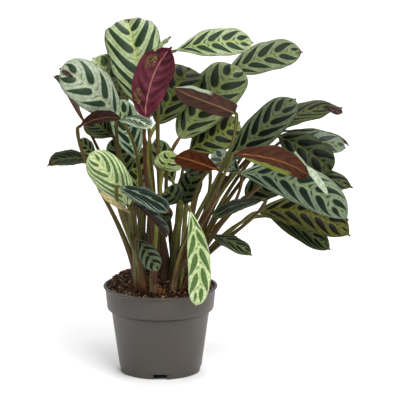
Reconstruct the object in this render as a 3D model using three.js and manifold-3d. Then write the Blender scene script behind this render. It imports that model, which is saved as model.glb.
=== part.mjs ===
// A potted calathea (fishbone prayer plant): a plastic nursery pot filled with peat, clumps of sheathed
// leaf stalks standing in it, and one thin arched blade on the end of each stalk.
// Millimetres, +Z up. The origin is the centre of the pot's foot, on the surface that it stands on.
// The plant's front is -Y and its foliage leans towards +X.
import * as THREE from "three";
import { mergeVertices } from "three/addons/utils/BufferGeometryUtils.js";
import Module from "manifold-3d";

const wasm = await Module();
wasm.setup();

// ---------------------------------------------------------------- driving dimensions
const gap = 0.35; // between pieces that touch
const pot = {
  height: 92,
  rimRadius: 60,
  footRadius: 42.5,
  collarHeight: 25, // the band round the top
  collarStep: 4.2, // how far the band stands out from the wall below it
  lip: 1.6, // the rolled edge's overhang
  lipHeight: 3,
  wall: 1.5,
  footHeight: 5.5, // the floor sits this far above the ground
  dishRadius: 12, // except in its middle, which is dished down to the ground
  dishSlope: 3,
  slotWidth: 17, // drainage slots through the foot
  slots: 4,
  sides: 38,
};
const soil = {
  edgeBelowRim: 4, // where the peat meets the pot
  mound: 12, // how far the middle stands above its edge
  crumb: 1.3, // height of the crumbs
  rings: 5,
  sides: 28,
  seed: 11,
};
const stalk = {
  sheathRadius: 3.3, // at the soil
  neckRadius: 2.2, // where the sheath ends
  tipRadius: 1.35, // under the blade
  sheathShare: 0.42, // of the stalk's length
  sunk: 9, // below the soil's surface
  spread: 1.3, // of the stalks in one stem
  hole: 8, // half the width of the hole that a clump stands in
  sides: 5,
  steps: 5,
  joint: 3, // length of the straight joint under the blade
};
const blade = {
  thickness: 0.8,
  midrib: 0.9, // how far the midrib stands out below the blade, at its base
  baseWidth: 2.2,
  tipWidth: 1.2,
  across: 4, // facets from edge to edge
  along: 9, // facets from base to tip on a full-grown blade
  alongSmall: 7,
  smallLength: 60,
};
const colours = {
  pot: 0x5f5e5c,
  soil: 0x3a2216,
  stalk: 0x6a5a2c,
  blade: 0x5d7a4a,
};

const up = new THREE.Vector3(0, 0, 1);
const soilEdgeZ = pot.height - soil.edgeBelowRim;

// ---------------------------------------------------------------- the plant
// Where the stems stand on the soil: x, y from the pot's axis. Each clump of stalks is one body.
const clumps = {
  left_front: [[-24, -27], [-17, -35]],
  front: [[-7, -38], [1, -31]],
  right_front: [[13, -31], [21, -24]],
  right: [[29, -12], [31, 0]],
  centre: [[2, -12], [10, -6]],
  left: [[-25, -8], [-18, 1]],
  back_left: [[-12, 20], [-4, 28]],
  back_right: [[15, 17], [23, 25]],
};

// One row for each leaf. base and tip are the ends of its midrib, and its upper side looks towards face.
// bow is how far the midrib's two middle control points stand off the line from base to tip, towards face,
// and sweep is how far they stand off it to the blade's own left, seen from above with the tip ahead.
// fold is the angle that each half rises at the midrib, and edge the angle that it has at the margin.
// taper is low for a rounded base and high for a wedge, and point is low for a blunt tip and high for a
// narrow one. bend is how the stalk comes to the blade: how far its last control point stands back along the
// midrib, and how far below.
const leaves = [
  // the crown
  { clump: "back_left", stem: 0, base: [-13, 5, 273], tip: [-34, 74, 359], face: [0, -0.9, 0.4],
    width: 59, bow: [0, 44], sweep: [-3, 2], fold: 18, edge: -20, taper: 0.8, point: 0.35 },
  { clump: "front", stem: 0, base: [-15, -40, 277], tip: [13, -58, 354], face: [-0.1, 1, 0.1],
    width: 39, bow: [4, 6], sweep: [-8, -10], fold: 14, edge: -4, taper: 0.6, point: 1.1 },
  { clump: "left", stem: 0, base: [-42, -32, 277], tip: [-102, -40, 329], face: [0, -0.9, 0.4],
    width: 45, bow: [6, 24], sweep: [-4, -6], fold: 12, edge: -22, taper: 0.7 },
  { clump: "back_left", stem: 0, base: [-34, 38, 279], tip: [-71, 50, 325], face: [0, -0.8, 0.6],
    width: 42, bow: [4, 8], fold: 12, edge: -14 },
  { clump: "left", stem: 1, base: [-78, 8, 264], tip: [-110, 0, 314], face: [0.9, 0.1, 0.5],
    width: 42, bow: [-2, 4], fold: 20, edge: 4, bend: [10, 12] },
  { clump: "left_front", stem: 0, base: [-81, -50, 271], tip: [-40, -72, 284], face: [0, 0.8, 0.5],
    width: 18, bow: [9, 7], fold: 22, edge: 0, bend: [1, 44] },
  { clump: "left", stem: 1, base: [-49, -8, 252], tip: [-76, 0, 270], face: [-0.2, -0.6, 0.7],
    width: 31, bow: [2, 4], fold: 14, edge: -10, bend: [4, 30] },
  { clump: "left", stem: 0, base: [-24, -15, 229], tip: [-44, -6, 291], face: [0.1, -0.9, 0.3],
    width: 33, bow: [2, 5], fold: 30, edge: 6 },
  { clump: "left_front", stem: 1, base: [-42, -52, 278], tip: [-8, -84, 275], face: [0.1, -0.4, 0.9],
    width: 24, bow: [7, 8], fold: 14, edge: -20, bend: [4, 40] },
  // out to the left
  { clump: "left", stem: 1, base: [-67, -15, 229], tip: [-114, -30, 229], face: [-0.1, -0.5, 0.8],
    width: 24, bow: [5, 6], fold: 20, edge: -8, taper: 1, bend: [16, 20] },
  { clump: "left", stem: 1, base: [-68, 8, 229], tip: [-85, -2, 247], face: [0.2, -0.8, 0.5],
    width: 16, bow: [2, 2], fold: 16, edge: 0, bend: [12, 14] },
  { clump: "left_front", stem: 0, base: [-32, -66, 191], tip: [-71, -84, 250], face: [0, -1, 0.1],
    width: 37, bow: [2, 12], sweep: [-5, -6], fold: 12, edge: -30, taper: 0.6, bend: [8, 26] },
  { clump: "left_front", stem: 1, base: [-40, -84, 215], tip: [13, -95, 190], face: [0.3, -0.4, 0.9],
    width: 31, bow: [5, 6], fold: 16, edge: -24, taper: 0.6, point: 0.9, bend: [4, 34] },
  { clump: "left_front", stem: 1, base: [-26, -60, 193], tip: [8, -75, 160], face: [0.6, -0.2, 0.7],
    width: 20, bow: [3, 2], fold: 55, edge: 30, bend: [8, 12] },
  // low among the stalks
  { clump: "left", stem: 1, base: [-11, -18, 182], tip: [10, -34, 167], face: [0, -0.8, 0.6],
    width: 23, bow: [3, 4], fold: 12, edge: -10, bend: [8, 14] },
  { clump: "left_front", stem: 1, base: [-22, -62, 156], tip: [-1, -70, 123], face: [0.1, -0.9, 0.4],
    width: 17, bow: [2, 3], fold: 14, edge: -20, point: 0.9, bend: [8, 12] },
  { clump: "right_front", stem: 1, base: [31, -62, 187], tip: [40, -76, 89], face: [0, -1, 0.1],
    width: 23, bow: [5, 2], sweep: [7, 10], fold: 16, edge: -16, taper: 1, bend: [14, 6] },
  { clump: "front", stem: 0, base: [-11, -45, 229], tip: [18, -56, 242], face: [0, -0.8, 0.6],
    width: 20, bow: [3, 4], fold: 24, edge: -10, bend: [2, 40] },
  { clump: "right_front", stem: 0, base: [52, -60, 231], tip: [17, -76, 245], face: [0, 0.9, 0.5],
    width: 22, bow: [4, 5], sweep: [-2, -2], fold: 16, edge: -6, bend: [3, 40] },
  // the upper right
  { clump: "right_front", stem: 0, base: [70, -70, 287], tip: [15, -84, 318], face: [0.3, 0.9, 0.4],
    width: 27, bow: [2, 0], sweep: [0, -5], fold: 16, edge: -12, taper: 0.3, point: 1.2, bend: [2, 60] },
  { clump: "centre", stem: 0, base: [14, 2, 340], tip: [97, 20, 346], face: [0, -0.8, 0.6],
    width: 33, bow: [6, 8], sweep: [3, 3], fold: 14, edge: -16, taper: 1.3, bend: [26, 40] },
  { clump: "back_right", stem: 1, base: [73, 74, 304], tip: [151, 94, 324], face: [0.1, -0.8, 0.6],
    width: 35, taper: 0.6, point: 0.65, bow: [4, 6], sweep: [7, 7], fold: 14, edge: -16, bend: [10, 50] },
  { clump: "centre", stem: 1, base: [-3, 0, 264], tip: [36, 58, 310], face: [-0.2, -0.9, 0.4],
    width: 44, taper: 0.6, bow: [0, 30], sweep: [0, 4], fold: 14, edge: -20 },
  { clump: "back_right", stem: 0, base: [20, 14, 246], tip: [84, 68, 312], face: [-0.1, -0.9, 0.4],
    width: 52, sweep: [3, 0], taper: 0.6, bow: [0, 26], fold: 14, edge: -22 },
  { clump: "back_right", stem: 0, base: [30, 34, 229], tip: [84, 52, 256], face: [-0.1, -1, 0.2],
    width: 38, bow: [4, 6], fold: 12, edge: -14, bend: [10, 30] },
  { clump: "right", stem: 0, base: [63, -25, 228], tip: [141, -2, 291], face: [-0.2, -0.8, 0.5],
    width: 38, taper: 1.1, bow: [4, 18], sweep: [-9, -4], fold: 14, edge: -22 },
  // out to the right
  { clump: "right", stem: 1, base: [106, 20, 253], tip: [191, 32, 275], face: [0, -0.6, 0.8],
    width: 28, taper: 0.6, point: 1.8, bow: [5, 6], sweep: [4, 8], fold: 20, edge: -16, bend: [20, 16] },
  { clump: "back_right", stem: 1, base: [130, 34, 250], tip: [199, 44, 232], face: [0.2, -0.3, 0.9],
    width: 22, bow: [6, 10], fold: 30, edge: 0, taper: 1.2, bend: [30, 14] },
  { clump: "right", stem: 1, base: [140, 24, 246], tip: [194, 16, 235], face: [0, -0.7, 0.6],
    width: 24, bow: [4, 4], fold: 16, edge: -10, bend: [30, 14] },
  { clump: "right", stem: 1, base: [124, 12, 248], tip: [178, -8, 214], face: [0.2, -0.9, 0.3],
    width: 36, bow: [4, 8], sweep: [5, 5], fold: 12, edge: -22, taper: 0.6, bend: [24, 18] },
  { clump: "right", stem: 0, base: [148, 6, 214], tip: [201, -4, 197], face: [0, -0.8, 0.6],
    width: 20, bow: [3, 3], fold: 14, edge: -14, point: 1.2, bend: [40, 10] },
  { clump: "right_front", stem: 1, base: [78, -70, 247], tip: [152, -90, 228], face: [0.1, 0.8, 0.6],
    width: 38, bow: [9, 11], fold: 14, edge: -8, bend: [12, 40] },
  { clump: "right_front", stem: 1, base: [81, -50, 222], tip: [193, -72, 177], face: [0.1, -1, 0.1],
    width: 42, bow: [6, 10], sweep: [18, 22], fold: 16, edge: -40, point: 0.9, bend: [20, 26] },
  { clump: "right", stem: 0, base: [100, -10, 172], tip: [198, -20, 149], face: [0.1, -0.9, 0.4],
    width: 36, bow: [5, 8], sweep: [16, 15], fold: 14, edge: -24, point: 0.8, bend: [20, 10] },
  { clump: "right", stem: 0, base: [114, 14, 162], tip: [179, 14, 126], face: [0.3, -0.8, 0.5],
    width: 27, bow: [5, 6], sweep: [4, 4], fold: 14, edge: -16, point: 0.8, bend: [36, 8] },
  { clump: "right_front", stem: 1, base: [107, -55, 195], tip: [54, -85, 182], face: [-0.2, -0.4, 0.9],
    width: 22, bow: [7, 9], fold: 14, edge: -20, bend: [-14, 30] },
  { clump: "right_front", stem: 0, base: [52, -52, 157], tip: [95, -66, 139], face: [0.2, -0.4, 0.9],
    width: 25, bow: [5, 6], fold: 16, edge: -18, point: 0.9, bend: [16, 10] },
  // the middle of the plant
  { clump: "centre", stem: 1, base: [21, -20, 186], tip: [6, -40, 204], face: [0, -1, 0.2],
    width: 26, bow: [2, 3], fold: 12, edge: -10, bend: [8, 20] },
  { clump: "centre", stem: 1, base: [23, 0, 178], tip: [37, -5, 214], face: [0, -0.9, 0.4],
    width: 26, bow: [2, 3], fold: 14, edge: -10 },
  { clump: "right", stem: 1, base: [50, -20, 219], tip: [22, -30, 227], face: [0, -0.7, 0.7],
    width: 24, bow: [3, 4], fold: 14, edge: -10, bend: [2, 40] },
  { clump: "left", stem: 0, base: [-34, 4, 209], tip: [-46, -2, 251], face: [0, -0.9, 0.3],
    width: 30, bow: [2, 4], fold: 14, edge: -10 },
  { clump: "back_right", stem: 1, base: [47, 4, 169], tip: [72, 26, 203], face: [-0.5, 0.6, 0.6],
    width: 21, bow: [4, 4], fold: 18, edge: -6 },
  { clump: "back_right", stem: 0, base: [14, 18, 197], tip: [-5, 8, 246], face: [0, -0.9, 0.3],
    width: 24, bow: [2, 3], fold: 12, edge: -10 },
  { clump: "right", stem: 1, base: [83, 6, 211], tip: [54, 14, 230], face: [0, -0.8, 0.6],
    width: 22, bow: [3, 4], fold: 14, edge: -10, bend: [2, 40] },
  // the back
  { clump: "back_left", stem: 0, base: [-56, 52, 262], tip: [-97, 92, 292], face: [-0.2, 0.6, 0.8],
    width: 44, bow: [4, 10], fold: 12, edge: -16, bend: [20, 20] },
  { clump: "back_left", stem: 1, base: [-13, 62, 258], tip: [-27, 112, 300], face: [-0.1, 0.7, 0.7],
    width: 46, bow: [4, 12], fold: 12, edge: -18, bend: [20, 20] },
  { clump: "back_right", stem: 1, base: [34, 78, 232], tip: [50, 134, 262], face: [0.1, 0.5, 0.9],
    width: 44, bow: [6, 12], fold: 12, edge: -18, bend: [20, 20] },
  { clump: "back_right", stem: 1, base: [90, 50, 176], tip: [132, 58, 198], face: [0.1, -0.8, 0.6],
    width: 35, taper: 0.5, bow: [3, 5], fold: 12, edge: -18, bend: [20, 10] },
  { clump: "back_left", stem: 0, base: [-24, 70, 177], tip: [-26, 76, 226], face: [0, -0.8, 0.4],
    width: 28, taper: 0.6, bow: [3, 5], fold: 14, edge: -18, bend: [20, 16] },
];

const byName = Object.fromEntries(
  leaves.map((row, i) => [`leaf_${String(i + 1).padStart(2, "0")}`, row]),
);

// ---------------------------------------------------------------- solids and meshes
// A closed buffer geometry as a manifold-3d solid.
function solidOf(geometry) {
  const bare = geometry.clone();
  bare.deleteAttribute("normal");
  bare.deleteAttribute("uv");
  const merged = mergeVertices(bare, 1e-4);
  return new wasm.Manifold(
    new wasm.Mesh({
      numProp: 3,
      vertProperties: new Float32Array(merged.attributes.position.array),
      triVerts: new Uint32Array(merged.index.array),
    }),
  );
}

function geometryOf(solid) {
  const { vertProperties, triVerts } = solid.getMesh();
  const geometry = new THREE.BufferGeometry();
  geometry.setAttribute("position", new THREE.BufferAttribute(vertProperties, 3));
  geometry.setIndex(new THREE.BufferAttribute(triVerts, 1));
  geometry.computeVertexNormals();
  return geometry;
}

function indexed(points, triangles) {
  const geometry = new THREE.BufferGeometry().setFromPoints(points);
  geometry.setIndex(triangles);
  geometry.computeVertexNormals();
  return geometry;
}

function mesh(name, geometry, color, roughness) {
  const made = new THREE.Mesh(geometry, new THREE.MeshStandardMaterial({ color, roughness, metalness: 0 }));
  made.name = name;
  return made;
}

// Closed rings of points, one after another along a body, joined by facets, with a fan over each end.
function loft(rings) {
  const points = rings.flat();
  const n = rings[0].length;
  const triangles = [];
  for (let i = 0; i + 1 < rings.length; i++) {
    for (let j = 0; j < n; j++) {
      const a = i * n + j;
      const b = i * n + ((j + 1) % n);
      triangles.push(a, b, b + n, a, b + n, a + n);
    }
  }
  const last = (rings.length - 1) * n;
  for (let j = 1; j + 1 < n; j++) {
    triangles.push(0, j + 1, j);
    triangles.push(last, last + j, last + j + 1);
  }
  return indexed(points, triangles);
}

// ---------------------------------------------------------------- pot
// The pot's radius outside, below the collar.
function wallRadius(z) {
  const top = pot.rimRadius - pot.lip - pot.collarStep - 2.4;
  return THREE.MathUtils.mapLinear(z, 0, pot.height - pot.collarHeight, pot.footRadius, top);
}

function collarRadius(z) {
  const bottom = pot.height - pot.collarHeight;
  return THREE.MathUtils.mapLinear(z, bottom, pot.height, wallRadius(bottom) + pot.collarStep,
    pot.rimRadius - pot.lip);
}

function potSolid() {
  const { height, wall, lip, lipHeight, collarHeight, footHeight, footRadius, dishRadius, dishSlope } = pot;
  const step = height - collarHeight;
  const ease = 2; // the collar's rounded lower edge
  const profile = [
    [0, 0],
    [dishRadius, 0],
    [dishRadius + dishSlope, footHeight],
    [footRadius - 3.5, footHeight],
    [footRadius - 3, 0],
    [footRadius - 1.2, 0],
    [wallRadius(3), 3],
    [wallRadius(step), step],
    [collarRadius(step) - ease, step],
    [collarRadius(step + ease), step + ease],
    [collarRadius(height - lipHeight), height - lipHeight],
    [pot.rimRadius, height - lipHeight + lip],
    [pot.rimRadius, height - 0.6],
    [pot.rimRadius - 0.8, height],
    [collarRadius(height) - wall, height - 0.4],
    [collarRadius(step + ease) - wall, step + ease],
    [wallRadius(step) - wall, step - 1],
    [wallRadius(footHeight + wall) - wall, footHeight + wall],
    [dishRadius + dishSlope - wall, footHeight + wall],
    [dishRadius - wall, wall],
    [0, wall],
  ].map(([r, z]) => new THREE.Vector2(r, z));
  const body = solidOf(new THREE.LatheGeometry(profile, pot.sides).rotateX(Math.PI / 2));
  const cut = new THREE.BoxGeometry(pot.slotWidth, footRadius, 2 * footHeight - 0.8);
  return Array.from({ length: pot.slots }, (_, i) =>
    solidOf(cut.clone().translate(0, -footRadius, 0).rotateZ((i * 2 * Math.PI) / pot.slots)),
  ).reduce((left, slot) => left.subtract(slot), body);
}

// ---------------------------------------------------------------- soil
// A repeatable draw from 0 to 1.
function draws(seed) {
  let state = seed;
  return () => {
    state = (state * 1664525 + 1013904223) % 4294967296;
    return state / 4294967296;
  };
}

function soilHeight(x, y) {
  const r = Math.hypot(x, y) / (collarRadius(soilEdgeZ) - pot.wall);
  return soilEdgeZ + soil.mound * (1 - r * r) ** 1.2;
}

function soilSolid() {
  const draw = draws(soil.seed);
  const floor = pot.footHeight + pot.wall + gap;
  const step = pot.height - pot.collarHeight;
  const inside = (r, z) => [r - pot.wall - gap, z];
  const sides = [
    inside(pot.dishRadius, pot.wall + gap),
    inside(pot.dishRadius + pot.dishSlope, floor),
    inside(wallRadius(floor), floor),
    inside(wallRadius(step - 1), step - 0.6),
    inside(collarRadius(step + 2), step + 3),
    inside(collarRadius(soilEdgeZ), soilEdgeZ),
  ];
  const ring = (r, z, crumb) =>
    Array.from({ length: soil.sides }, (_, i) => {
      const angle = (i * 2 * Math.PI) / soil.sides;
      const point = new THREE.Vector3(r * Math.cos(angle), r * Math.sin(angle), z);
      if (crumb) point.z = soilHeight(point.x, point.y) + crumb * (draw() - 0.5) * 2;
      return point;
    });
  const rings = sides.map(([r, z]) => ring(r, z, 0));
  const edge = sides.at(-1)[0];
  for (let i = soil.rings - 1; i > 0; i--) rings.push(ring((edge * i) / soil.rings, 0, soil.crumb));
  return solidOf(loft(rings));
}

// ---------------------------------------------------------------- leaves
const vector = (list) => new THREE.Vector3(...list);

// The part of v that is square to direction, at unit length.
function squareTo(v, direction) {
  return v.clone().addScaledVector(direction, -v.dot(direction)).normalize();
}

// The midrib as a curve, and the way the blade's upper side looks.
function midribOf(row) {
  const base = vector(row.base);
  const tip = vector(row.tip);
  const chord = tip.clone().sub(base);
  const face = squareTo(vector(row.face), chord.clone().normalize());
  const side = face.clone().cross(chord).normalize();
  const control = (i, share) =>
    base
      .clone()
      .addScaledVector(chord, share)
      .addScaledVector(face, row.bow[i])
      .addScaledVector(side, row.sweep ? row.sweep[i] : 0);
  return { face, curve: new THREE.CubicBezierCurve3(base, control(0, 0.33), control(1, 0.7), tip) };
}

// Half the blade's width as a share of its greatest, from base (0) to tip (1): a tapered base, near-parallel
// sides and a rounded end with a short point.
function outline(u, taper, point) {
  const base = Math.sin((Math.PI / 2) * Math.min(1, u / 0.52)) ** taper;
  const end = u < 0.55 ? 1 : Math.max(0, 1 - ((u - 0.55) / 0.43) ** 3.2) ** point;
  return Math.max(base * end, u > 0.9 ? 1.2 * (1 - u) : 0);
}

// How far a point lies out from the midrib and above it, as shares of the half width.
function arched(v, fold, edge) {
  const a = THREE.MathUtils.degToRad(fold);
  const turn = THREE.MathUtils.degToRad(edge) - a;
  const side = Math.sign(v);
  const s = Math.abs(v);
  if (Math.abs(turn) < 1e-6) return [v * Math.cos(a), s * Math.sin(a)];
  return [
    (side * (Math.sin(a + turn * s) - Math.sin(a))) / turn,
    (Math.cos(a) - Math.cos(a + turn * s)) / turn,
  ];
}

// Stations along the blade, closer together at both ends.
function stations(count) {
  return Array.from({ length: count + 1 }, (_, i) => (1 - Math.cos((Math.PI * i) / count)) / 2);
}

function bladeGeometry(row) {
  const { curve, face } = midribOf(row);
  const length = curve.getLength();
  const count = length < blade.smallLength ? blade.alongSmall : blade.along;
  const wave = row.wave ?? 0.05;
  const rings = stations(count).map((u) => {
    const point = curve.getPointAt(u);
    const along = curve.getTangentAt(u);
    const normal = squareTo(face, along);
    const side = normal.clone().cross(along);
    const least = THREE.MathUtils.lerp(blade.baseWidth, blade.tipWidth, u) / 2;
    const half = Math.max((row.width / 2) * outline(u, row.taper ?? 0.9, row.point ?? 0.55), least);
    const place = (v, lift) => {
      const [out, rise] = arched(v, row.fold, row.edge);
      const ripple = wave * Math.sin(5 * Math.PI * u + (v > 0 ? 1.3 : 0)) * v * v;
      return point
        .clone()
        .addScaledVector(side, out * half)
        .addScaledVector(normal, (rise + ripple) * half + lift);
    };
    const shares = Array.from({ length: blade.across + 1 }, (_, j) => (2 * j) / blade.across - 1);
    const rib = (v) => (v === 0 ? blade.midrib * (1 - 0.8 * u) : 0);
    const top = shares.map((v) => place(v, blade.thickness / 2));
    const under = shares.map((v) => place(v, -blade.thickness / 2 - rib(v)));
    return [...top, ...under.reverse()];
  });
  return bladeSkin(rings);
}

// The blade's two faces split alike, with a narrow rim between them and flat ends.
function bladeSkin(rings) {
  const n = rings[0].length;
  const half = n / 2;
  const triangles = [];
  const quad = (a, b, c, d) => triangles.push(a, b, c, a, c, d);
  for (let i = 0; i + 1 < rings.length; i++) {
    const at = (j) => i * n + j;
    for (let j = 0; j + 1 < half; j++) {
      const [a, b, c, d] = [at(j), at(j + 1), at(j + 1) + n, at(j) + n];
      const under = (k) => k - 2 * ((k % n) - half) - 1;
      quad(a, d, c, b);
      triangles.push(under(a), under(c), under(d), under(a), under(b), under(c));
    }
    quad(at(half - 1), at(half - 1) + n, at(half) + n, at(half));
    quad(at(n - 1), at(n - 1) + n, n + at(0), at(0));
  }
  const last = (rings.length - 1) * n;
  for (let j = 0; j + 1 < half; j++) {
    quad(j, j + 1, n - 2 - j, n - 1 - j);
    quad(last + j, last + n - 1 - j, last + n - 2 - j, last + j + 1);
  }
  return indexed(rings.flat(), triangles);
}

// ---------------------------------------------------------------- stalks
// A stalk's route: up out of the soil from its stem and over to the joint under its blade. The joint runs
// on from there in line with the midrib.
function stalkRoute(row, order) {
  const [x, y] = clumps[row.clump][row.stem];
  const turn = order * 2.4;
  const root = new THREE.Vector3(x + stalk.spread * Math.cos(turn), y + stalk.spread * Math.sin(turn), 0);
  root.z = soilHeight(root.x, root.y) - stalk.sunk;
  const heading = midribOf(row).curve.getTangentAt(0);
  const end = vector(row.base).addScaledVector(heading, -gap);
  const knee = end.clone().addScaledVector(heading, -stalk.joint);
  const reach = knee.clone().sub(root);
  const lean = reach.clone().setZ(0);
  const [back, below] = row.bend ?? [0.3 * reach.length(), 0];
  const rise = root.clone().addScaledVector(up, 0.42 * reach.z).addScaledVector(lean, 0.06);
  const approach = knee.clone().addScaledVector(heading, -back).addScaledVector(up, -below);
  return { curve: new THREE.CubicBezierCurve3(root, rise, approach, knee), end, heading };
}

function stalkRadius(u) {
  const { sheathShare, sheathRadius, neckRadius, tipRadius } = stalk;
  if (u < sheathShare) return THREE.MathUtils.lerp(sheathRadius, neckRadius, u / sheathShare);
  return THREE.MathUtils.lerp(neckRadius, tipRadius, (u - sheathShare) / (1 - sheathShare));
}

// A tube along a route, thick in the sheath and thin at the blade, with flat ends.
function stalkGeometry({ curve, end, heading }) {
  const frames = curve.computeFrenetFrames(stalk.steps, false);
  const ring = (centre, along, normal, radius) => {
    const out = squareTo(normal, along);
    const side = along.clone().cross(out);
    return Array.from({ length: stalk.sides }, (_, j) => {
      const angle = (j * 2 * Math.PI) / stalk.sides;
      return centre
        .clone()
        .addScaledVector(out, radius * Math.cos(angle))
        .addScaledVector(side, radius * Math.sin(angle));
    });
  };
  const rings = frames.tangents.map((tangent, i) => {
    const u = i / stalk.steps;
    const along = i === stalk.steps ? tangent.clone().add(heading).normalize() : tangent;
    return ring(curve.getPointAt(u), along, frames.normals[i], stalkRadius(u));
  });
  rings.push(ring(end, heading, frames.normals[stalk.steps], stalk.tipRadius));
  return loft(rings);
}

// The buried rhizome that a clump's stems rise from.
function rhizome(stems) {
  const [a, b] = stems.map(([x, y]) => new THREE.Vector3(x, y, soilHeight(x, y) - stalk.sunk + 1.4));
  const out = b.clone().sub(a).setLength(1);
  const side = out.clone().cross(up).setLength(2);
  const ring = (centre) =>
    [0, 1, 2, 3, 4, 5].map((i) => {
      const angle = (i * Math.PI) / 3;
      return centre
        .clone()
        .addScaledVector(up, 1.3 * Math.cos(angle))
        .addScaledVector(side, Math.sin(angle));
    });
  return loft([ring(a.sub(out)), ring(b.add(out))]);
}

// The plain hole in the soil that a clump stands in, rounded about each of its stems.
function hole(stems, floor) {
  const [a, b] = stems.map(([x, y]) => new THREE.Vector2(x, y));
  const turn = Math.atan2(b.y - a.y, b.x - a.x);
  const shape = new THREE.Shape()
    .absarc(b.x, b.y, stalk.hole, turn - Math.PI / 2, turn + Math.PI / 2)
    .absarc(a.x, a.y, stalk.hole, turn + Math.PI / 2, turn + 1.5 * Math.PI);
  const depth = pot.height; // out through the top of the soil
  const cut = new THREE.ExtrudeGeometry(shape, { depth, bevelEnabled: false, curveSegments: 6 });
  return cut.translate(0, 0, floor);
}

// ---------------------------------------------------------------- the whole plant
const plant = new THREE.Group();
plant.add(mesh("pot", geometryOf(potSolid()), colours.pot, 0.45));

let peat = soilSolid();
for (const [name, stems] of Object.entries(clumps)) {
  const stalks = leaves
    .filter((row) => row.clump === name)
    .map((row, order) => solidOf(stalkGeometry(stalkRoute(row, order))))
    .reduce((a, b) => a.add(b), solidOf(rhizome(stems)));
  const geometry = geometryOf(stalks);
  geometry.computeBoundingBox();
  plant.add(mesh(`stalks_${name}`, geometry, colours.stalk, 0.5));
  peat = peat.subtract(solidOf(hole(stems, geometry.boundingBox.min.z - gap)));
}
plant.add(mesh("soil", geometryOf(peat), colours.soil, 0.95));

for (const [name, row] of Object.entries(byName)) {
  plant.add(mesh(name, bladeGeometry(row), colours.blade, 0.4));
}

export default plant;
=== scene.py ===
import math
import random

import bpy
from mathutils import Euler, Matrix, Vector, noise


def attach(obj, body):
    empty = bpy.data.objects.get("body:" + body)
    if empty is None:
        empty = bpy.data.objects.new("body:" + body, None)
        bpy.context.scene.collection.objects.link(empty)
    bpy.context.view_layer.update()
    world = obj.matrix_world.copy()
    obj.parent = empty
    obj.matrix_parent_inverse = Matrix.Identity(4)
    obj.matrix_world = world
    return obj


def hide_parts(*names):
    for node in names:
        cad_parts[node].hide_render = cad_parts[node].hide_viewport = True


# A potted calathea. Metres, +Z up. The origin is the middle of the pot's foot, and the front is -Y.
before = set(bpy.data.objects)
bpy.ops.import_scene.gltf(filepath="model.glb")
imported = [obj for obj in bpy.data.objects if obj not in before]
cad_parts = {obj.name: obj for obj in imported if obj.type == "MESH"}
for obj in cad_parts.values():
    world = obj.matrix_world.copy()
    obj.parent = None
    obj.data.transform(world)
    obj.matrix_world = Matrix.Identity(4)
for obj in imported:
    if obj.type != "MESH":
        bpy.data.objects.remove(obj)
bpy.ops.object.select_all(action="DESELECT")
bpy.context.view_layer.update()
mm = 0.001
up = Vector((0, 0, 1))
print("frame loaded:", len(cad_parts), "nodes")

studio = dict(
    aim=(0.0416, 0, 0.183), distance=3.0, lookDown=12.3, lens=258.5,  # the camera
    floorSize=24, floorTint=(0.86, 0.86, 0.86), floorRough=0.9, skyLight=0.16,
    lamps=dict(  # where each stands, what it points at, its size and its power
        key=((0.8, -1.25, 2.2), (0.03, 0, 0.15), 1.8, 94), fill=((-1.6, -1.9, 1.3), (0, 0, 0.2), 1.4, 5),
        back=((0.1, 2.6, 2.6), (0.1, 2.2, 0), 2.4, 75), near=((0, 0.6, 2.6), (0, 0.5, 0), 1.6, 28),
    ),
)


def buildStudio():
    scene = bpy.context.scene
    scene.view_settings.view_transform = "Standard"
    down = math.radians(studio["lookDown"])
    place = Vector(studio["aim"]) + studio["distance"] * Vector((0, -math.cos(down), math.sin(down)))
    bpy.ops.object.camera_add(location=place, rotation=(math.pi / 2 - down, 0, 0))
    scene.camera = bpy.context.object
    scene.camera.data.lens = studio["lens"]
    bpy.ops.mesh.primitive_plane_add(size=studio["floorSize"])
    floor = bpy.context.object
    floor.name = "floor"
    paper, _, shader = newMaterial("whitePaper")
    feed(shader.inputs["Base Color"], (*studio["floorTint"], 1))
    feed(shader.inputs["Roughness"], studio["floorRough"])
    floor.data.materials.append(paper)
    for name, (place, aim, size, power) in studio["lamps"].items():
        bpy.ops.object.light_add(type="AREA", location=place)
        lamp = bpy.context.object
        lamp.name = name + "Light"
        lamp.data.energy, lamp.data.size = power, size
        lamp.rotation_euler = (Vector(aim) - Vector(place)).to_track_quat("-Z", "Y").to_euler()
    scene.world = bpy.data.worlds.new("paleRoom")
    scene.world.use_nodes = True
    background = scene.world.node_tree.nodes["Background"]
    feed(background.inputs["Color"], (1, 1, 1, 1))
    feed(background.inputs["Strength"], studio["skyLight"])


# ---- nodes: small helpers that the materials below share


def paint(code, shade=1):  # a colour as rrggbb, made linear
    parts = [int(code[i : i + 2], 16) / 255 for i in (0, 2, 4)]
    return (*[shade * (c / 12.92 if c < 0.04045 else ((c + 0.055) / 1.055) ** 2.4) for c in parts], 1)


def newMaterial(name):
    material = bpy.data.materials.new(name)
    material.use_nodes = True
    return material, material.node_tree, material.node_tree.nodes["Principled BSDF"]


def feed(socket, value):  # links a socket, or sets it
    if isinstance(value, bpy.types.NodeSocket):
        socket.id_data.links.new(value, socket)
    else:
        socket.default_value = value


def treeOf(*values):  # the tree of the first one that is linked
    return next(value.id_data for value in values if isinstance(value, bpy.types.NodeSocket))


def newNode(kind, *values):  # its inputs are fed in their order
    node = treeOf(*values).nodes.new("ShaderNode" + kind)
    for socket, value in zip(node.inputs, values):
        feed(socket, value)
    return node


def calc(operation, *values):
    node = newNode("Math", *values)
    node.operation = operation
    return node.outputs[0]


def times(first, *others):
    for value in others:
        first = calc("MULTIPLY", first, value)
    return first


def plus(first, *others):
    for value in others:
        first = calc("ADD", first, value)
    return first


def minus(first, second):
    return calc("SUBTRACT", first, second)


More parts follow.
